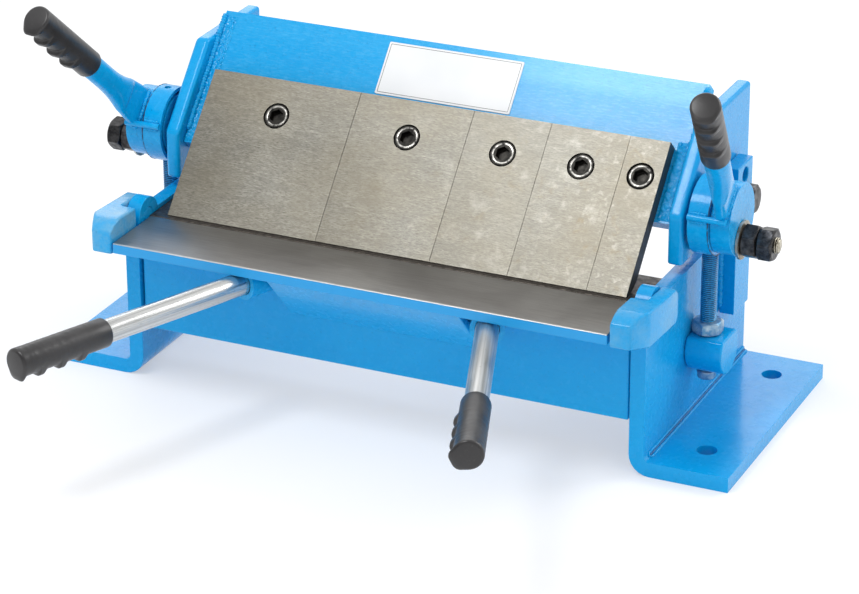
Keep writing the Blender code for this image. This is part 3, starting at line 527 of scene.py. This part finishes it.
def add_bead(name, body, points, radius, seed, material=weld_paint, ripple=1.9, closed=False):
    vertices, faces = bead_mesh(points, radius, seed, ripple, closed)
    return add_piece(name, body, material, "blue_enamel", vertices, faces)


def add_rod_thread(side):
    """A real thread in place of the smooth pull rod."""
    low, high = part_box("pull_rod_" + side)
    centre = (low + high) / 2
    length = (high.z - low.z) / mm
    bottom = Vector((centre.x, centre.y, low.z))
    top = Vector((centre.x, centre.y, high.z))
    stations = [(0, 3.6, False), (0.8, 4.6, True), (1.2, thread_radius, True), (length, thread_radius, True)]
    rod = add_piece("pull_rod_thread_" + side, "rod_" + side, rod_paint, "blue_enamel",
                    *threaded(bottom, top, stations))
    # the valleys get painted shade
    paint_valley_shade(rod, bottom, top, painted_shade_blue)
    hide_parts("pull_rod_" + side)


def add_stud_thread(side):
    """A clamp's stud with its collar and thread."""
    low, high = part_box("clamp_stud_" + side)
    inner = min(abs(low.x), abs(high.x)) / mm
    outer = max(abs(low.x), abs(high.x)) / mm
    start = at(sides[side] * inner, *stud_axis)
    end = at(sides[side] * outer, *stud_axis)
    collar_start, collar_end = (x - inner for x in stud_collar)
    reach = outer - inner
    collar_radius = 11
    step = 0.01
    stations = [(0, 4.5, False), (0.5, thread_radius, False), (collar_start, thread_radius, False),
                (collar_start + step, collar_radius, False), (collar_end, collar_radius, False),
                (collar_end + step, thread_radius, False), (stud_thread_start - inner, thread_radius, True),
                (reach - 0.9, thread_radius, True), (reach - 0.3, 4.2, True), (reach, 3.2, True)]
    stud = add_piece("clamp_stud_thread_" + side, "beam", zinc, "bright_zinc", *threaded(start, end, stations))
    # the valleys get painted shade
    paint_valley_shade(stud, start, end, painted_shade_zinc)
    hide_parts("clamp_stud_" + side)


def hexagon_radius(flat, angle):
    """The radius of a hexagon at an angle, from half its width across flats."""
    return flat / math.cos(angle % (math.pi / 3) - math.pi / 6)


def add_nut(name, body, material, slot, replaced, axis):
    """A hexagon nut with turned corners in place of a plain one. axis is 0 for x and 2 for z."""
    low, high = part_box(replaced)
    middle = (low + high) / 2
    direction = Vector([float(index == axis) for index in range(3)])
    node = nodes[replaced]
    arms = []
    for vertex in node.data.vertices:
        offset = node.matrix_world @ vertex.co - middle
        arms.append(offset - direction * offset.dot(direction))
    corner = max(arms, key=lambda arm: arm.length)
    flat = corner.length * math.cos(math.pi / 6)
    across = corner.normalized()
    third = direction.cross(across)
    height = high[axis] - low[axis]
    steps = [share * 0.125 * height for share in (0, 0.25, 0.5, 0.75, 1)]
    heights = steps + [height - step for step in reversed(steps)]
    start = middle - direction * height / 2

    def place(ring, turn):
        level = heights[ring]
        angle = 2 * math.pi * turn
        cone = 0.93 * flat + min(level, height - level) * math.sqrt(3)
        radius = min(hexagon_radius(flat, angle), cone)
        return start + direction * level + (across * math.cos(angle) + third * math.sin(angle)) * radius

    nut = add_piece(name, body, material, slot, *rings(len(heights), 72, place), smooth=False)
    add_bevel(nut, 0.25, 2, 40)
    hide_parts(replaced)


def add_nuts(side):
    for kind in ("stud_nut_", "stud_lock_nut_"):
        add_nut(kind + "chamfered_" + side, "beam", black_metal, "black_oxide", kind + side, 0)
    add_nut("rod_lock_nut_chamfered_" + side, "rod_" + side, worn_nut, "blue_enamel", "rod_lock_nut_" + side, 2)


def add_rod_end(side):
    """The pull rod's lower end, thick with paint, under the trunnion block."""
    low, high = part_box("pull_rod_" + side)
    centre = (low + high) / 2
    # height above the bench and radius
    levels = [(38.4, 6.3), (37.6, 6.1), (36.6, 5.75), (35.2, 5.6), (34.2, 5.55), (33.6, 5.35), (33.25, 5.0)]
    smooth_radius = 5.4

    def place(ring, turn):
        height, radius = levels[ring]
        angle = -2 * math.pi * turn
        lump = noise.noise(Vector((math.cos(angle), math.sin(angle), height * 0.5)) * 1.6)
        radius += 0.25 * lump * (radius > smooth_radius)
        return Vector((centre.x + radius * math.sin(angle) * mm, centre.y + radius * math.cos(angle) * mm,
                       height * mm))

    add_piece("rod_end_painted_" + side, "rod_" + side, worn_nut, "blue_enamel", *rings(len(levels), 48, place))


def add_pivot_bolt(side):
    """A pivot of the beam: a turned shank and a small hexagon head with rounded corners."""
    sign = sides[side]
    name = "pivot_bolt_" + side
    node = nodes[name]
    low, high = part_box(name)
    middle = (low + high) / 2
    points = [node.matrix_world @ vertex.co for vertex in node.data.vertices]
    radii = [math.hypot(point.y - middle.y, point.z - middle.z) for point in points]
    shank = min(radii)
    head = [abs(point.x) for point, radius in zip(points, radii) if radius > max(radii) - 0.5 * mm]
    inner = min(abs(low.x), abs(high.x))
    outer = max(abs(low.x), abs(high.x))
    seat = min(head)
    flat = max(radii) * math.cos(math.pi / 6) * 0.9
    rows = [(inner, shank, False), (seat, shank, False), (seat, flat, True)]
    rise = (outer - seat) / 6
    rows += [(seat + rise * step, flat, True) for step in (1, 2, 3, 4, 5, 6)]

    def place(ring, turn):
        x, radius, hexagonal = rows[ring]
        angle = 2 * math.pi * turn
        if hexagonal:
            domed = 0.9 * flat + (outer - x) * 1.3
            radius = min(hexagon_radius(flat, angle), domed, 1.09 * flat)
        return Vector((sign * x, middle.y + radius * math.cos(angle) * sign, middle.z + radius * math.sin(angle)))

    bolt = add_piece("pivot_bolt_turned_" + side, "base", black_metal, "black_oxide",
                     *rings(len(rows), 72, place), smooth=False)
    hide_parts(name)


def ridge_reach(angle, radius, top, half_width):
    """How far a grip's rib reaches at an angle from its middle: a flat with straight sides down to the round."""
    corner = math.atan2(half_width, top)
    touch = corner + math.acos(radius / math.hypot(half_width, top))
    angle = abs((angle + math.pi) % (2 * math.pi) - math.pi)
    if angle <= corner:
        return top / math.cos(angle)
    if angle <= touch:
        return radius / math.cos(touch - angle)
    return radius


def add_grip(name, body, replaced, tip, direction, length, ridge_way):
    """A dipped grip: round sleeve, a rib as its end flange and three finger ribs with soft valleys."""
    radius = 8.9
    rib_top, rib_half_width = 10.8, 5
    rib_places = [0, 15, 30, 45]
    crown, flange_rise, ahead_slope, past_slope = 1.3, 1.3, 1.4, 3.2
    step, steps = 0.35, 149   # these reach past the ribs, and the rest is plain
    edge = [(0, 1.7), (0.12, 1.25), (0.45, 0.74), (0.95, 0.28), (1.7, 0)]   # distance and inset at each end
    edge_length = edge[-1][0]
    across = (ridge_way - direction * ridge_way.dot(direction)).normalized()
    third = direction.cross(across)
    stations = edge + [(edge_length + step * index, 0) for index in range(1, steps + 1)]
    stations += [(length - distance, inset) for distance, inset in reversed(edge)]

    def rib(distance):
        """The share of a rib's height at a distance from the tip."""
        most = 0.0
        for place in rib_places:
            ahead = place - crown - distance
            past = distance - place - crown
            gap = max(ahead / ahead_slope, past / past_slope, 0)
            most = max(most, 1 - min(gap, 1)) if gap < 1 else most
        most *= min(distance / flange_rise, 1)
        return most * most * (3 - 2 * most)

    def place(ring, turn):
        distance, inset = stations[ring]
        angle = 2 * math.pi * turn
        lumps = -0.16 * abs(noise.noise(Vector((distance * 0.12, math.cos(angle), math.sin(angle))) * 1.7))
        softened = [ridge_reach(angle + math.radians(turn_by), radius, rib_top, rib_half_width)
                    for turn_by in (-12, -6, 0, 6, 12)]
        rise = sum(softened) / len(softened) - radius
        reach = radius + rise * rib(distance) - inset + lumps * (inset < 0.2)
        out = across * math.cos(angle) + third * math.sin(angle)
        return tip + direction * -distance * mm + out * reach * mm

    piece = add_piece(name, body, grip, "black_grip", *rings(len(stations), 72, place))
    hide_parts(replaced)


def add_lever(side):
    """A lever's arm, beaten flat and wide where it is welded to the hub, and its grip."""
    # distance from the root, half thickness, half width and squareness
    shape = [(0, 3.9, 13.4, 3.4), (4, 3.9, 13.2, 3.4), (10, 3.9, 12.5, 3.4), (17, 4.0, 11.6, 3.3),
             (19.2, 4.1, 11.4, 3.2), (19.8, 4.7, 11.3, 3.0), (22, 5.6, 10.7, 2.7), (25, 6.2, 9.8, 2.5),
             (29, 6.7, 8.9, 2.3), (35, 7.2, 8.0, 2.1), (42, 7.5, 7.65, 2), (50, lever_arm_radius, lever_arm_radius, 2)]
    grip_length = 64.6
    inside_grip = 4.5
    sign = sides[side]
    angle = math.radians(lever_angles[side])
    root = round_eye(sign * hub_middle, lever_root_reach, angle)
    tip = round_eye(sign * lever_tip_x, lever_tip_reach, angle)
    direction = (tip - root).normalized()
    wide = direction.cross(Vector((1, 0, 0))).normalized()
    thin = wide.cross(direction).normalized()
    length = (tip - root).length / mm
    rows = shape + [(length - inside_grip, lever_arm_radius, lever_arm_radius, 2)]

    def place(ring, turn):
        distance, half_thin, half_wide, power = rows[ring]
        c, s = math.cos(2 * math.pi * turn), math.sin(2 * math.pi * turn)
        out = math.copysign(abs(c) ** (2 / power), c) * half_wide
        up = math.copysign(abs(s) ** (2 / power), s) * half_thin
        return root + (direction * distance + wide * out + thin * up) * mm

    body = "lever_" + side
    arm = add_piece("lever_arm_flattened_" + side, body, paint, "blue_enamel", *rings(len(rows), 48, place))
    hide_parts("lever_arm_" + side)
    down = Vector((0, 0, -1))
    add_grip("lever_grip_ribbed_" + side, body, "lever_grip_" + side, tip, direction, grip_length, down)


def add_clamp_welds(side):
    """The weld round a lever's root, a dark bead beside its hub that paints the shade of the gap between eye ring and
    hub, and the welds of the stop pin.
    """
    sign = sides[side]
    half_thick = 4.4
    half_arc = math.asin(0.6)
    collar = []
    for step in range(40):
        turn = 2 * math.pi * step / 40
        around_hub = math.radians(lever_angles[side]) + half_arc * math.sin(turn)
        collar.append(round_eye(sign * hub_middle + half_thick * math.cos(turn), hub_radius, around_hub))
    add_bead("weld_lever_" + side, "lever_" + side, collar, 1.4, 40 + sign, closed=True)
    # painted shade: a thin dark ring at the eye ring's outer edge for the shaded gap to the hub
    gap_shade_x, gap_shade_radius = eye_ring_edge
    gap_shade_points = [round_eye(sign * gap_shade_x, gap_shade_radius, math.pi / 2 + 2 * math.pi * step / 90) for step in range(90)]
    add_bead("eye_ring_gap_shade_" + side, "rod_" + side, gap_shade_points, 0.5, 60 + sign, material=painted_shade_blue, closed=True,
             ripple=40)
    for number, turn in enumerate((-6, 6)):
        angle = math.radians(stop_pin_angle + turn)
        line = [round_eye(sign * x, 24.2, angle) for x in (177, 187.5)]
        add_bead("weld_stop_%s_%d" % (side, number), "rod_" + side, line, 1.0, 50 + sign + number)


def add_leaf_grip(side):
    grip_length = 66
    ridge_way = {"left": Vector((0, 0, -1)), "right": Vector((-1, 0, -0.5))}[side]
    node = nodes["leaf_grip_" + side]
    tube = nodes["leaf_handle_" + side]
    direction = Vector(leaf_handle_ways[side]).normalized()
    reach = max((node.matrix_world @ vertex.co).dot(direction) for vertex in node.data.vertices)
    middle = Vector((0, 0, 0))
    for vertex in tube.data.vertices:
        middle += tube.matrix_world @ vertex.co
    middle /= len(tube.data.vertices)
    tip = middle + direction * (reach - middle.dot(direction))
    add_grip("leaf_grip_ribbed_" + side, "leaf", "leaf_grip_" + side, tip, direction, grip_length, ridge_way)


def add_screw_rims():
    """The rubbed rim round each finger screw's socket, with the teeth of its knurled edge."""
    teeth = 30
    around = teeth * 4
    # height, radius and how far the teeth cut in
    rows = [(-0.6, 5.5, 0), (0.35, 5.5, 0), (0.5, 5.8, 0), (0.5, 6.9, 0), (0.3, 7.4, 0.28), (-0.6, 7.75, 0.32)]
    for number, x in enumerate(screw_places, 1):
        frame_matrix = along(on_finger(x, screw_station, 0.55), on_finger(x, screw_station, -1))

        def place(ring, turn):
            height, radius, cut = rows[ring]
            angle = 2 * math.pi * turn
            radius -= cut * (0.5 + 0.5 * math.cos(angle * teeth))
            return frame_matrix @ (Vector((radius * math.cos(angle), radius * math.sin(angle), height)) * mm)

        vertices, faces = rings(len(rows), around, place)
        open_faces = faces[:-2] + strip((len(rows) - 1) * around, 0, around)
        add_piece("finger_screw_rim_%d" % number, "beam", worn_rim, "black_oxide", vertices, open_faces)


def rounded_plate(height, inset):
    """Outline points of the blank plate, at a height above the beam's face and moved in by inset."""
    low_x, high_x = -46.9 + inset, 43.6 - inset
    low_s, high_s = 103.7 + inset, 138.9 - inset
    corner = max(0.3, 1.0 - inset)
    outline = []
    for centre_x, centre_s, begin in ((high_x - corner, high_s - corner, 0), (low_x + corner, high_s - corner, 90),
                                      (low_x + corner, low_s + corner, 180), (high_x - corner, low_s + corner, 270)):
        for step in range(7):
            angle = math.radians(begin + 15 * step)
            outline.append((centre_x + corner * math.cos(angle), centre_s + corner * math.sin(angle)))
    return [on_finger(x, s, beam_face_depth - height) for x, s in outline]


def add_blank_plate():
    """The plate on the beam, left blank, with a thin line round its edge."""
    levels = [(0, 0.0), (0.42, 0.0), (0.55, 0.15)]
    loops = [rounded_plate(height, inset) for height, inset in levels]
    around = len(loops[0])
    vertices, faces = rings(len(loops), around, lambda ring, turn: loops[ring][round(turn * around)])
    add_piece("blank_plate", "beam", plate_white, "bright_zinc", vertices, faces, smooth=False)
    corners = [(0.5, 1.3), (0.58, 1.3), (0.58, 1.62), (0.5, 1.62)]
    vertices = [point for height, inset in corners for point in rounded_plate(height, inset)]
    faces = []
    for loop in range(4):
        faces += strip(loop * around, (loop + 1) % 4 * around, around)
    add_piece("blank_plate_line", "beam", plate_line, "black_oxide", vertices, faces, smooth=False)


def add_weld_zone(side, x_range, s_range, seed):
    """A band of uneven weld spatter under the paint at an end of the beam plate."""
    sign = sides[side]
    columns = 16
    rows = round((s_range[1] - s_range[0]) / 0.6)
    vertices = []
    for row in range(rows + 1):
        for column in range(columns + 1):
            x = x_range[0] + (x_range[1] - x_range[0]) * column / columns
            s = s_range[0] + (s_range[1] - s_range[0]) * row / rows
            coarse = noise.noise(Vector((x * 0.6, s * 0.6, seed)))
            rough = coarse + 0.7 * noise.noise(Vector((x * 1.6, s * 1.6, seed)))
            edge = min(1, (x_range[1] - x + 0.6) * 2, (x - x_range[0]) * 0.6, row * 0.4, (rows - row) * 0.4)
            height = (0.3 + 1.0 * max(0, rough + 0.25)) * edge - 0.1 * (1 - edge)
            vertices.append(on_finger(sign * x, s, beam_face_depth - height))
    faces = []
    for row in range(rows):
        for column in range(columns):
            first = row * (columns + 1) + column
            face = (first, first + 1, first + columns + 2, first + columns + 1)
            faces.append(face if sign > 0 else tuple(reversed(face)))
    zone = add_piece("weld_zone_" + side, "beam", weld_paint, "blue_enamel", vertices, faces)
    backed = zone.modifiers.new("back", "SOLIDIFY")
    backed.thickness = 0.4 * mm
    backed.offset = -1


def add_beam_welds(side):
    """The weld between beam plate and end plate, and the rough zone beside the outer finger."""
    sign = sides[side]
    seed = 3 + sign
    zone_bottom = 53
    zone_top = {"left": 140, "right": 104}[side]
    slope = [on_finger(sign * 162.2, station, 9.0) for station in (60, beam_top_station)]
    add_bead("weld_beam_end_" + side, "beam", slope, 1.9, seed)
    add_weld_zone(side, (153.2, 162.6), (zone_bottom, zone_top), seed + 5)
    edge = [on_finger(sign * (154.2 + (s - zone_bottom) * 0.02), s, 9.6) for s in (100, zone_top)]
    add_bead("weld_zone_edge_" + side, "beam", edge, 0.9, seed + 8, ripple=4)


def add_frame_welds(side):
    """The rear bar's two welds on the frame, and the crease along the foot's bend, with a dark bead in its groove as
    painted shade.
    """
    sign = sides[side]
    seed = 3 + sign
    weld_x, weld_low, weld_high = 173.0, 59, 104
    for name, y, more in (("weld_rear_bar_", 122.7, 10), ("weld_rear_bar_back_", 149.3, 20)):
        bar = [at(sign * weld_x, y, z) for z in (weld_low, weld_high)]
        add_bead(name + side, "base", bar, 1.8, seed + more, ripple=3.2)
    foot_front, foot_back = 8.5, 171
    loop = [(172.9, foot_back, 11.8), (172.9, foot_front, 11.8), (173.2, 7, 11.3), (173.8, 6.4, 10.6),
            (174.4, 7, 10.2), (174.8, foot_front, 9.9), (174.8, foot_back, 9.9)]
    crease = [at(sign * x, y, z) for x, y, z in loop]
    add_bead("foot_crease_" + side, "base", crease, 0.85, seed + 30, material=paint, ripple=30)
    # painted shade: a dark bead along the groove between the crease's ridges
    groove_shade_line = [at(sign * 173.55, y, 10.55) for y in (8, foot_back)]
    add_bead("foot_groove_shade_" + side, "base", groove_shade_line, 0.62, seed + 31, material=groove_painted_shade, ripple=30)


def add_floor():
    """A white floor that keeps the shadow."""
    mesh = bpy.data.meshes.new("floor")
    reach = 6.0
    corners = [(-reach, -reach, 0), (reach, -reach, 0), (reach, reach, 0), (-reach, reach, 0)]
    mesh.from_pydata(corners, [], [(0, 1, 2, 3)])
    floor = bpy.data.objects.new("floor", mesh)
    bpy.context.scene.collection.objects.link(floor)
    made = Finish("floor_white", base_color=linear(252, 253, 255), roughness=0.8, specular_ior_level=0.1)
    seen, _ = made.clear_rays()
    glow = made.node("ShaderNodeEmission")
    glow.inputs["Strength"].default_value = 1.0
    both = made.node("ShaderNodeMixShader")
    made.link(made.times(seen, 0.42), both.inputs[0])
    made.link(made.shader.outputs[0], both.inputs[1])
    made.link(glow.outputs[0], both.inputs[2])
    made.link(both.outputs[0], made.tree.nodes["Material Output"].inputs["Surface"])
    mesh.materials.append(made.material)


def add_surroundings():
    """White surroundings: full strength for the camera, darker in front for gloss, softer as plain light."""
    world = bpy.data.worlds.new("studio")
    bpy.context.scene.world = world
    world.use_nodes = True
    made = Graph(world.node_tree)
    sky = made.tree.nodes["Background"]
    sky.inputs["Color"].default_value = (1, 1, 1, 1)
    seen, rays = made.clear_rays()
    level = made.spread(seen, 0, 1, 0.8, 1.0)
    split = made.node("ShaderNodeSeparateXYZ")
    made.link(made.node("ShaderNodeTexCoord").outputs["Generated"], split.inputs[0])
    from_front = made.spread(split.outputs["Y"], -0.75, 0.1, 0.3, 1.0)
    shown = made.node("ShaderNodeMix")
    made.link(rays["Is Glossy Ray"], shown.inputs[0])
    shown.inputs[2].default_value = 1.0
    made.link(from_front, shown.inputs[3])
    made.link(made.times(level, shown.outputs[0]), sky.inputs["Strength"])


def add_lamp(name, place, target, size, watts):
    lamp = bpy.data.lights.new(name, "AREA")
    lamp.shape = "RECTANGLE"
    lamp.size, lamp.size_y = size
    lamp.energy = watts
    holder = bpy.data.objects.new(name, lamp)
    bpy.context.scene.collection.objects.link(holder)
    holder.location = place
    holder.rotation_mode = "QUATERNION"
    holder.rotation_quaternion = (Vector(target) - Vector(place)).to_track_quat("-Z", "Y")


def add_lights():
    """Four softboxes: place, aim, size and power in metres and watts."""
    add_lamp("softbox_above", (-0.27, -0.45, 1.2), (-0.02, 0.09, 0.15), (0.32, 0.4), 6)
    add_lamp("softbox_behind", (-0.7, 1.75, 0.95), (0, 0.1, 0.1), (1.2, 0.7), 4.5)
    add_lamp("softbox_right", (0.95, 0.95, 0.95), (0.4, 0.35, 0), (0.7, 0.7), 8)
    add_lamp("softbox_front", (0.5, -1.6, 0.5), (0, 0.05, 0.08), (1.2, 0.6), 2)


def add_camera():
    """The camera solved from the photograph's edges: angles in radians, offset in mm, lens in pixels."""
    azimuth, elevation, roll = 0.432913418, 0.421107470, -0.00422789386
    offset = Vector((-30.8663, -76.8328, 2099.5232))
    focal_pixels, photo_width = 3448.85066, 859
    forward = Vector((-math.sin(azimuth) * math.cos(elevation), math.cos(azimuth) * math.cos(elevation),
                      -math.sin(elevation)))
    right = Vector((math.cos(azimuth), math.sin(azimuth), 0))
    up = right.cross(forward)
    rolled_right = math.cos(roll) * right + math.sin(roll) * up
    rolled_up = -math.sin(roll) * right + math.cos(roll) * up
    turn = Matrix((rolled_right, rolled_up, forward))
    place = -(turn.transposed() @ offset) * mm + Vector((0, front_y, 0))
    camera = bpy.data.cameras.new("camera")
    camera.sensor_width = 36
    camera.lens = focal_pixels * camera.sensor_width / photo_width
    holder = bpy.data.objects.new("camera", camera)
    bpy.context.scene.collection.objects.link(holder)
    axes = Matrix((rolled_right, rolled_up, -forward)).transposed().to_4x4()
    holder.matrix_world = Matrix.Translation(place) @ axes
    bpy.context.scene.camera = holder


dress_nodes()
for side in sides:
    add_rod_thread(side)
    add_stud_thread(side)
    add_nuts(side)
    add_rod_end(side)
    add_pivot_bolt(side)
    add_lever(side)
    add_clamp_welds(side)
    add_leaf_grip(side)
    add_beam_welds(side)
    add_frame_welds(side)
add_screw_rims()
add_blank_plate()
add_floor()
add_surroundings()
add_lights()
add_camera()
bpy.context.scene.view_settings.view_transform = "Standard"
